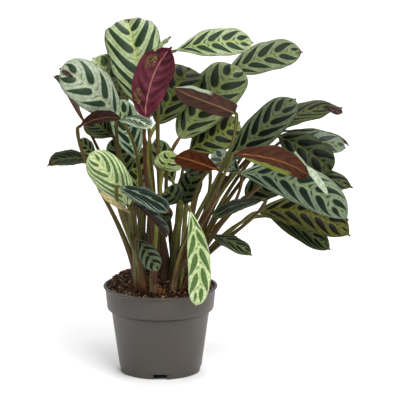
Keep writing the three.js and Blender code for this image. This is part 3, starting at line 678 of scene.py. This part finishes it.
def teardrop(w, start, reach, narrowing, ends, size):  # round near the midrib, drawn out to the margin
    q = calc("DIVIDE", minus(w, start), reach)
    q = calc("MINIMUM", calc("MAXIMUM", q, 0), 1)
    return times(calc("SQRT", q), calc("POWER", minus(1, q), narrowing), ends, size)


def buildUpperGroup():
    numbers = ("Pairs", "Phase", "Lean", "Tip", "Fat", "Small", "Gap", "Reach")
    tree, given, out = newGroup("calatheaUpper", lookParts, numbers)
    place, across, w, along, drift = bladePlace(tree)
    uneven = plus(times(drift, 0.1), w)
    vein, cell = veinPlace(given, across, along, calc("MAXIMUM", uneven, 0))
    cell = plus(times(drift, 0.25), cell)
    offCentre = calc("ABSOLUTE", minus(calc("FRACT", cell), 0.5))
    ends = times(ease(along, 0.02, 0.14), ease(along, 1, 0.84))
    big = minus(teardrop(uneven, given["Gap"], given["Reach"], 0.85, ends, given["Fat"]), offCentre)
    small = minus(teardrop(uneven, 0.05, 0.24, 0.7, ends, given["Small"]), minus(0.5, offCentre))
    inside = calc("MAXIMUM", big, small)  # above 0 in a blotch
    blotch = ease(inside, -0.005, 0.05)
    fineLine = calc("SINE", times(vein, 2 * math.pi * 9))
    mottle, cloud = grain(place, 340, 4, 0.6), grain(place, 42, 2)
    marginLine = times(ease(calc("ABSOLUTE", minus(uneven, 0.9)), 0.03, 0.008), ends)
    layers = (
        (times(ease(cloud, 0.42, 0.72), 0.3), "Inner"),
        (times(ease(fineLine, 0.2, 1), 0.05), "Rim"),
        (times(ease(inside, -0.12, -0.01), 0.22), "Rim"),  # the ground darkens toward a blotch
        (times(ease(inside, -0.03, 0.015), 0.92), "Rim"),
        (times(blotch, 0.94), "Blotch"),
        (times(marginLine, 0.5), "Rim"),
        (times(ease(w, 0.955, 0.985), 0.85), "Margin"),
        (times(ease(w, 0.05, 0.012), 0.8), "Inner"),  # the midrib
    )
    colour = mix(times(ease(w, 0.2, 0.03), 0.5), given["Ground"], given["Inner"])
    for share, part in layers:
        colour = mix(share, colour, given[part])
    dimmed = mix(1, colour, paint(blade["speckle"]), "MULTIPLY")
    colour = mix(ease(mottle, 0.62, 0.38), colour, dimmed)
    worn = plus(along, given["Tip"], times(drift, 0.06))
    feed(out["Colour"], mix(ease(worn, 0.985, 1.02), colour, paint(blade["wornTip"])))
    feed(out["Rough"], plus(times(blotch, -0.03), times(mottle, 0.16), 0.33))
    feed(out["Height"], plus(times(fineLine, 0.35), mottle))
    return tree


def spot(across, along, centre):  # 1 there, falling to 0 a few millimetres from it
    x = times(minus(across, centre[0]), blade["speckAcross"])
    y = times(minus(along, centre[1]), blade["speckAlong"])
    return ease(plus(times(x, x), times(y, y)), 1, 0.25)


def buildUnderGroup():
    numbers = ("Pairs", "Phase", "Lean", "Strip", "Side", "From", "To", "Speck")
    tree, given, out = newGroup("calatheaUnder", (*underParts, "Edge"), numbers)
    place, across, w, along, drift = bladePlace(tree)
    vein, cell = veinPlace(given, across, along, w)
    offCentre = calc("ABSOLUTE", minus(calc("FRACT", cell), 0.5))
    patch = times(ease(offCentre, 0.3, 0.12), ease(w, 0.06, 0.2), ease(w, 0.95, 0.5))
    fineLine = calc("SINE", times(vein, 2 * math.pi * 8))
    mottle, cloud = grain(place, 300, 4, 0.6), grain(place, 48, 3)
    layers = (
        # pale cloudy patches, partly painted highlights
        (times(ease(cloud, 0.4, 0.7), 0.4), "VeinAndHighlight"),
        (times(ease(fineLine, 0.3, 1), 0.35), "VeinAndHighlight"),
        (times(ease(mottle, 0.6, 0.4), 0.35), "Deep"),
        (ease(w, 0.042, 0.016), "Rib"),
    )
    colour = mix(times(patch, 0.75), given["Base"], given["Deep"])
    for share, part in layers:
        colour = mix(share, colour, given[part])
    dots = ease(grain(place, 700, 2), 0.52, 0.62)
    specked = times(plus(*[spot(across, along, centre) for centre in blade["speckCentres"]]), given["Speck"])
    colour = mix(times(specked, 0.4), colour, paint(blade["speckRing"]))
    colour = mix(times(dots, specked), colour, paint(blade["speckDot"]))
    # a strip along one margin where the upper side shows
    outward = plus(times(drift, 0.4), times(across, given["Side"]))
    begun = ease(minus(along, given["From"]), -0.05, 0.05)
    ended = ease(minus(along, given["To"]), 0.05, -0.05)
    strip = times(ease(outward, 0.62, 0.72), given["Strip"], begun, ended)
    feed(out["Colour"], mix(strip, colour, given["Edge"]))
    feed(out["Rough"], plus(times(mottle, 0.2), 0.4))
    feed(out["Height"], plus(times(fineLine, 0.5), mottle))
    return tree


def leafMaterial(name, group, values, gloss):
    material, tree, shader = newMaterial(name)
    node = tree.nodes.new("ShaderNodeGroup")
    node.node_tree = group
    for label, value in values.items():
        feed(node.inputs[label], value)
    painted = node.outputs
    dress(shader, painted["Colour"], painted["Rough"], gloss, painted["Height"], 0.35, 0.0004)
    return material


def squareTo(direction, axis):
    return (direction - axis * direction.dot(axis)).normalized()


def bezier(points, t):
    a, b, c, d = points
    s = 1 - t
    place = a * (s * s * s) + b * (3 * s * s * t) + c * (3 * s * t * t) + d * (t * t * t)
    tangent = (b - a) * (s * s) + (c - b) * (2 * s * t) + (d - c) * (t * t)
    return place, tangent.normalized()


def evenly(points, shares, steps=240):  # (place, tangent) at shares of a Bezier's length
    reach, last = [0], bezier(points, 0)[0]
    for i in range(1, steps + 1):
        here = bezier(points, i / steps)[0]
        reach.append(reach[-1] + (here - last).length)
        last = here
    found, i = [], 0
    for share in shares:
        goal = share * reach[-1]
        while i < steps - 1 and reach[i + 1] < goal:
            i += 1
        t = (i + (goal - reach[i]) / (reach[i + 1] - reach[i])) / steps
        found.append(bezier(points, min(1, max(0, t))))
    return found


def midrib(row):
    base, tip = Vector(row["base"]), Vector(row["tip"])
    chord = tip - base
    face = squareTo(Vector(row["face"]), chord.normalized())
    side = face.cross(chord).normalized()
    bow, sweep = row["bow"], row["sweep"]
    first = base + chord * 0.33 + face * bow[0] + side * sweep[0]
    second = base + chord * 0.7 + face * bow[1] + side * sweep[1]
    return (base, first, second, tip), face


def outline(row, u):  # the half width at u along the blade, as a share of its widest
    base = math.sin(math.pi / 2 * min(1, u / 0.52)) ** row["taper"]
    end = 1 if u < 0.55 else max(0, 1 - ((u - 0.55) / 0.43) ** 3.2) ** row["point"]
    return max(base * end, 1.2 * (1 - u) if u > 0.9 else 0)


def arched(v, fold, edge):  # (out, up) at v across a blade of half width 1
    a, turn = math.radians(fold), math.radians(edge - fold)
    s = abs(v)
    out = (math.sin(a + turn * s) - math.sin(a)) / turn
    rise = (math.cos(a) - math.cos(a + turn * s)) / turn
    return math.copysign(out, v), rise


def veinValues(number, row):
    pairs = row["pairs"] or (Vector(row["tip"]) - Vector(row["base"])).length * 1.08 / blade["period"]
    phase = number * 0.37 % 1 if row["phase"] is None else row["phase"]
    return dict(Pairs=pairs, Phase=phase, Lean=row["lean"])


def layBlade(mesh, grid, number, row, veins):
    curve, face = midrib(row)
    pairs, phase, lean = veins.values()
    columns = blade["columns"]
    shares = [u for v, u in grid[:: columns + 1]]
    seed, tail = Vector((number * 3.1, number * 1.7, 0)), Vector(row["tail"])
    for j, (u, (point, tangent)) in enumerate(zip(shares, evenly(curve, shares))):
        normal = squareTo(face, tangent)
        side = normal.cross(tangent)
        least = (blade["baseWidth"] + (blade["tipWidth"] - blade["baseWidth"]) * u) / 2
        body = max(row["width"] / 2 * outline(row, u), least)
        point = point + tail * max(0, (u - 0.88) / 0.12) ** 2
        for k in range(j * (columns + 1), (j + 1) * (columns + 1)):
            v = grid[k][0]
            hand = 1 if v > 0 else -1
            ragged = noise.noise(seed + Vector((u * 7, hand * 3, 0)))
            half = body * (1 + blade["ragged"] * ragged * abs(v) ** 3)
            out, rise = arched(v, row["fold"], row["edge"])
            rise += blade["wave"] * math.sin(5 * math.pi * u + (1.3 if v > 0 else 0)) * v * v
            rise += blade["ruffle"] * noise.noise(seed + Vector((u * 12, hand * 5, 7))) * abs(v) ** 3
            lift = 0.2 - blade["groove"] * math.exp(-((v * half / 0.8) ** 2)) * (1 - 0.6 * u)
            vein = (u - lean * abs(v) ** blade["veinBend"]) * pairs + phase + hand * blade["sideShift"]
            lift -= row["quilt"] * math.cos(2 * math.pi * vein) * math.sqrt(abs(v)) * (1 - v * v)
            hump = max(0, (u - 0.55) / 0.45) * math.sin(math.pi * min(1, abs(v) / 0.95)) ** 2
            place = point + side * (out * half) + normal * (rise * half + lift) + up * row["crest"] * hump
            mesh.vertices[k].co = place * mm


def growBlade(template, grid, groups, number, row, label):
    piece = copyOf(template)
    count, veins = len(piece.data.vertices), veinValues(number, row)
    layBlade(piece.data, grid, number, row, veins)
    # shade paints light and shade as well as the leaf's own lightness; on the underside it is held to 1.1 at
    # most
    shade, (*colours, gloss) = row["shade"], looks[row["look"]]
    if row["gloss"] is not None:
        gloss = row["gloss"]
    above = {part: paint(code, shade) for part, code in zip(lookParts, colours)}
    above.update(veins, Tip=row["brownTip"])
    above.update({name.capitalize(): row[name] for name in ("fat", "small", "gap", "reach")})
    below = {part: paint(code, min(shade, 1.1)) for part, code in zip(underParts, unders[row["under"]])}
    below.update(veins, Edge=paint(row["stripColour"]), Speck=row["speck"])
    below.update(zip(("Strip", "Side", "From", "To"), row["strip"]))
    for side, group, values in zip(("Top", "Under"), groups, (above, below)):
        piece.data.materials.append(leafMaterial(f"leaf{side}_{label}", group, values, gloss))
    thick = blade["thickness"] * mm
    applyModifier(piece, "SOLIDIFY", thickness=thick, offset=-1, material_offset=1, material_offset_rim=0)
    for k, (v, u) in enumerate(grid):  # the midrib stands out underneath
        top, low = piece.data.vertices[k], piece.data.vertices[k + count]
        wide = row["width"] / 2 * outline(row, u) * v
        swell = blade["ribDepth"] * math.exp(-((wide / blade["ribWidth"]) ** 2)) * (1 - 0.8 * u)
        swell *= min(1, row["width"] / 20)
        low.co += (low.co - top.co).normalized() * swell * mm
    return piece


def bladeGrid():  # a flat template, and (across -1 to 1, along 0 to 1) of each of its vertices
    rows, columns = blade["rows"], blade["columns"]
    bpy.ops.mesh.primitive_grid_add(x_subdivisions=columns, y_subdivisions=rows, size=2)
    template = bpy.context.object
    layer = template.data.uv_layers[0]
    layer.name = "blade"
    grid = []  # rows crowd toward both ends, and columns toward the midrib
    for vertex in template.data.vertices:
        x, t = vertex.co.x, (vertex.co.y + 1) / 2
        crowded = (1 - math.cos(math.pi * t)) / 2
        grid.append((math.copysign(abs(x) ** 1.4, x), t * 0.25 + crowded * 0.75))
    for loop in template.data.loops:
        across, along = grid[loop.vertex_index]
        layer.data[loop.index].uv = ((across + 1) / 2, along)
    editAll()
    bpy.ops.mesh.flip_normals()
    leaveEdit()
    bpy.ops.object.shade_smooth()
    return template, grid


def pinned(piece, grid, curl):  # the curl's row, with its pinned ends on the leaf
    row = dict(usual, **curl)
    for end in ("base", "tip"):
        if end not in row:
            pin = curl["pin" + end.capitalize()]
            k = min(range(len(grid)), key=lambda i: math.dist(grid[i], pin))
            row[end] = piece.data.vertices[k].co / mm + Vector(curl["face"]).normalized() * 0.5
    return row


def buildLeaves():
    groups = buildUpperGroup(), buildUnderGroup()
    template, grid = bladeGrid()
    for number, row in leaves.items():
        piece = growBlade(template, grid, groups, number, row, f"{number:02d}")
        if number in curls:
            row = pinned(piece, grid, curls[number])
            piece = joined([piece, growBlade(template, grid, groups, number, row, f"curl{number:02d}")])
        seat(piece, f"blade_{number:02d}", f"leaf_{number:02d}")
    bpy.data.objects.remove(template)


buildLeaves()
print("leaves laid:", len(leaves))

# ---- stalks

# where each clump's two stems stand on the peat, in millimetres, and how deep in shade it is, as painted
# shade on its stalks
clumps = dict(
    left_front=((-24, -27), (-17, -35), 0.25), front=((-7, -38), (1, -31), 0.4),
    right_front=((13, -31), (21, -24), 0.5), right=((29, -12), (31, 0), 0.3),
    centre=((2, -12), (10, -6), 0), left=((-25, -8), (-18, 1), 0.15),
    back_left=((-12, 20), (-4, 28), 0.1), back_right=((15, 17), (23, 25), 0.1),
)

stalk = dict(
    sides=14, rows=44, radii=(3.6, 2.5, 1.5), sheathShare=0.42, sunk=9,
    spread=1.3, joint=3, flat=0.16, groove=0.22, jointSwell=0.55, jointLength=13, turn=2.4,
    # the two ridge colours are partly painted highlights
    green="7c7e38", olive="4b4a1e", reddish="4e2c17", maroon="2e1210", greenRidgeHighlight="a09d4c",
    # unlit is painted shade for a clump that sits in shade
    redRidgeHighlight="84582f", cleft="20150b", foot="5c342c", unlit="100c05", cream="93805c", neck="5c5a2c",
    # inside is painted shade among the stalks
    fleck="1c120c", inside="140c06",
)

# tones of the stalks from leaf 1 on: 0 yellow-green, 0.35 olive, 0.7 reddish brown, 1 maroon
tones = (
    0.5, 0.72, 0.45, 0.35, 0.7, 0.5, 0.6, 0.3, 0.45, 0.5, 0.8, 0.3, 0.35, 0.55, 0.3, 0.6, 0, 0, 0.75, 0.3,
    0.5, 0.45, 0.3, 0.6, 0.5, 0.5, 0.6, 0.8, 0.55, 0.5, 0.6, 0.35, 0.3, 0.35, 0.45, 0.5, 0.6, 0.2, 0.3, 0.5,
    0.4, 0.7, 0.2, 0.6, 0.6, 0.6, 0.6, 0.6, 0.6,
)


def stalkMaterial():
    material, tree, shader = newMaterial("leafStalk")
    place, uv = objectPlace(tree), uvPlace(tree, "stalk")
    along = newNode("SeparateXYZ", uv).outputs[1]
    tone, dim = attribute(tree, "tone"), attribute(tree, "dim")
    moved = newNode("VectorMath", place, (12, 12, 0), stretched(uv, (9, 1.6, 1)))  # no two stalks alike
    moved.operation = "MULTIPLY_ADD"
    streak, fine = grain(moved.outputs[0], 2.6, 4, 0.6), grain(place, 480, 3)
    sheath = ease(along, 0.34, 0.1)  # it is redder than the stalk above it
    redness = plus(times(sheath, 0.2), times(minus(streak, 0.5), 0.9), tone)
    # pale lengthwise ridges, partly painted highlights
    lit = times(ease(streak, 0.5, 0.62), 0.75)  # pale lengthwise ridges
    ridgeHighlight = mix(ease(redness, 0.3, 0.8), paint(stalk["greenRidgeHighlight"]), paint(stalk["redRidgeHighlight"]))
    foot = times(ease(along, 0.24, 0.08), ease(tone, 0.1, 0.5), 0.6)
    x, y, z = newNode("SeparateXYZ", place).outputs
    fromAxis = calc("SQRT", plus(calc("POWER", x, 2), calc("POWER", y, 2)))
    layers = (
        (ease(redness, 0.35, 0.75), "reddish"),
        (ease(redness, 0.75, 1.1), "maroon"),
        (lit, ridgeHighlight),
        # dark lengthwise furrows, partly painted shade
        (times(ease(streak, 0.46, 0.3), 0.6), "cleft"),
        (foot, "foot"),
        # painted shade, by how deep the clump sits in shade, less on the pale ridges
        (times(dim, minus(1, lit)), "unlit"),
        (times(ease(along, 0.1, 0.05), ease(streak, 0.4, 0.55), 0.6), "cream"),
        (times(ease(along, 0.93, 0.97), 0.35), "neck"),
        (times(ease(fine, 0.6, 0.4), 0.35), "fleck"),
        # painted shade among the stalks, darker near the pot's middle and low down
        (times(ease(fromAxis, 0.04, 0.016), ease(z, 0.18, 0.11), 0.75), "inside"),  # among the stalks
    )
    colour = mix(ease(redness, 0, 0.4), paint(stalk["green"]), paint(stalk["olive"]))
    for share, layer in layers:
        colour = mix(share, colour, paint(stalk[layer]) if isinstance(layer, str) else layer)
    dress(shader, colour, plus(times(fine, 0.2), 0.36), 0.15, plus(times(streak, 2), fine), 0.4, 0.0004)
    return material


def stalkPoints(row, stems, order):
    x, y = stems[row["stem"]]
    turn = order * stalk["turn"]
    x, y = x + stalk["spread"] * math.cos(turn), y + stalk["spread"] * math.sin(turn)
    root = Vector((x, y, bedHeight(x * mm, y * mm) / mm - stalk["sunk"]))
    base = Vector(row["base"])
    heading = bezier(midrib(row)[0], 0)[1]
    knee = base - heading * stalk["joint"]
    reach = knee - root
    back, below = row["bend"] or (0.3 * reach.length, 0)
    rise = root + up * 0.42 * reach.z + Vector((reach.x, reach.y, 0)) * 0.06
    approach = knee - heading * back - up * below
    shares = [i / (stalk["rows"] - 3) for i in range(stalk["rows"] - 2)]
    spots = evenly((root, rise, approach, knee), shares)
    length = sum((a[0] - b[0]).length for a, b in zip(spots, spots[1:]))
    line = [(point, tangent, share) for (point, tangent), share in zip(spots, shares)]
    line += [(base + heading * step, heading, 1) for step in (-1.2, 0.8, 3)]  # the joint, into the blade
    return line, length


def stalkRadius(u):
    (sheath, neck, tip), share = stalk["radii"], stalk["sheathShare"]
    if u < share:
        return sheath + (neck - sheath) * u / share
    return neck + (tip - neck) * (u - share) / (1 - share)


def layStalk(mesh, row, stems, order, seed):
    line, length = stalkPoints(row, stems, order)
    sides = stalk["sides"]
    across = squareTo(Vector((line[0][0].x, line[0][0].y, 0.01)), line[0][1])
    for j, (point, tangent, u) in enumerate(line):
        across = squareTo(across, tangent)
        side = tangent.cross(across)
        left = (1 - u) * length
        radius = stalkRadius(u) * (1 + 0.03 * noise.noise(Vector((u * 9, seed, 0))))
        radius += stalk["jointSwell"] * math.exp(-(((left - 5) / stalk["jointLength"] * 2) ** 2))
        radius *= (1, 0.97, 0.8, 0.5)[max(0, j - len(line) + 4)]
        sheath = max(0, min(1, (stalk["sheathShare"] - u) / 0.1 + 0.5))
        for i in range(sides + 1):
            angle = 2 * math.pi * i / sides
            flat = 1 + stalk["flat"] * (0.3 + 0.7 * sheath) * -math.cos(2 * angle)
            behind = math.remainder(angle - math.pi, 2 * math.pi) / 0.4
            cleft = stalk["groove"] * sheath * math.exp(-(behind**2))
            r = radius * (flat - cleft)
            place = point + across * (r * math.cos(angle)) + side * (r * math.sin(angle))
            mesh.vertices[j * (sides + 1) + i].co = place * mm


def buildStalks():
    sides, rows = stalk["sides"], stalk["rows"]
    bpy.ops.mesh.primitive_grid_add(x_subdivisions=sides, y_subdivisions=rows, size=2)
    template = bpy.context.object
    template.data.uv_layers[0].name = "stalk"
    bpy.ops.object.shade_smooth()
    material = stalkMaterial()
    for clump, (*stems, dim) in clumps.items():
        bundle = []
        members = [number for number in leaves if leaves[number]["clump"] == clump]
        for order, number in enumerate(members):
            piece = copyOf(template)
            layStalk(piece.data, leaves[number], stems, order, number)
            setAttribute(piece, "tone", tones[number - 1])
            setAttribute(piece, "dim", dim)
            bundle.append(piece)
        stalks = joined(bundle)
        editAll()
        bpy.ops.mesh.remove_doubles(threshold=0.000001)  # closes each tube's seam
        bpy.ops.mesh.fill_holes(sides=sides)
        bpy.ops.mesh.select_all(action="SELECT")
        bpy.ops.mesh.normals_make_consistent(inside=False)
        leaveEdit()
        stalks.data.materials.append(material)
        seat(stalks, "petioles_" + clump, "stalks_" + clump)
    bpy.data.objects.remove(template)


buildStalks()
print("stalks grown")

print("done")
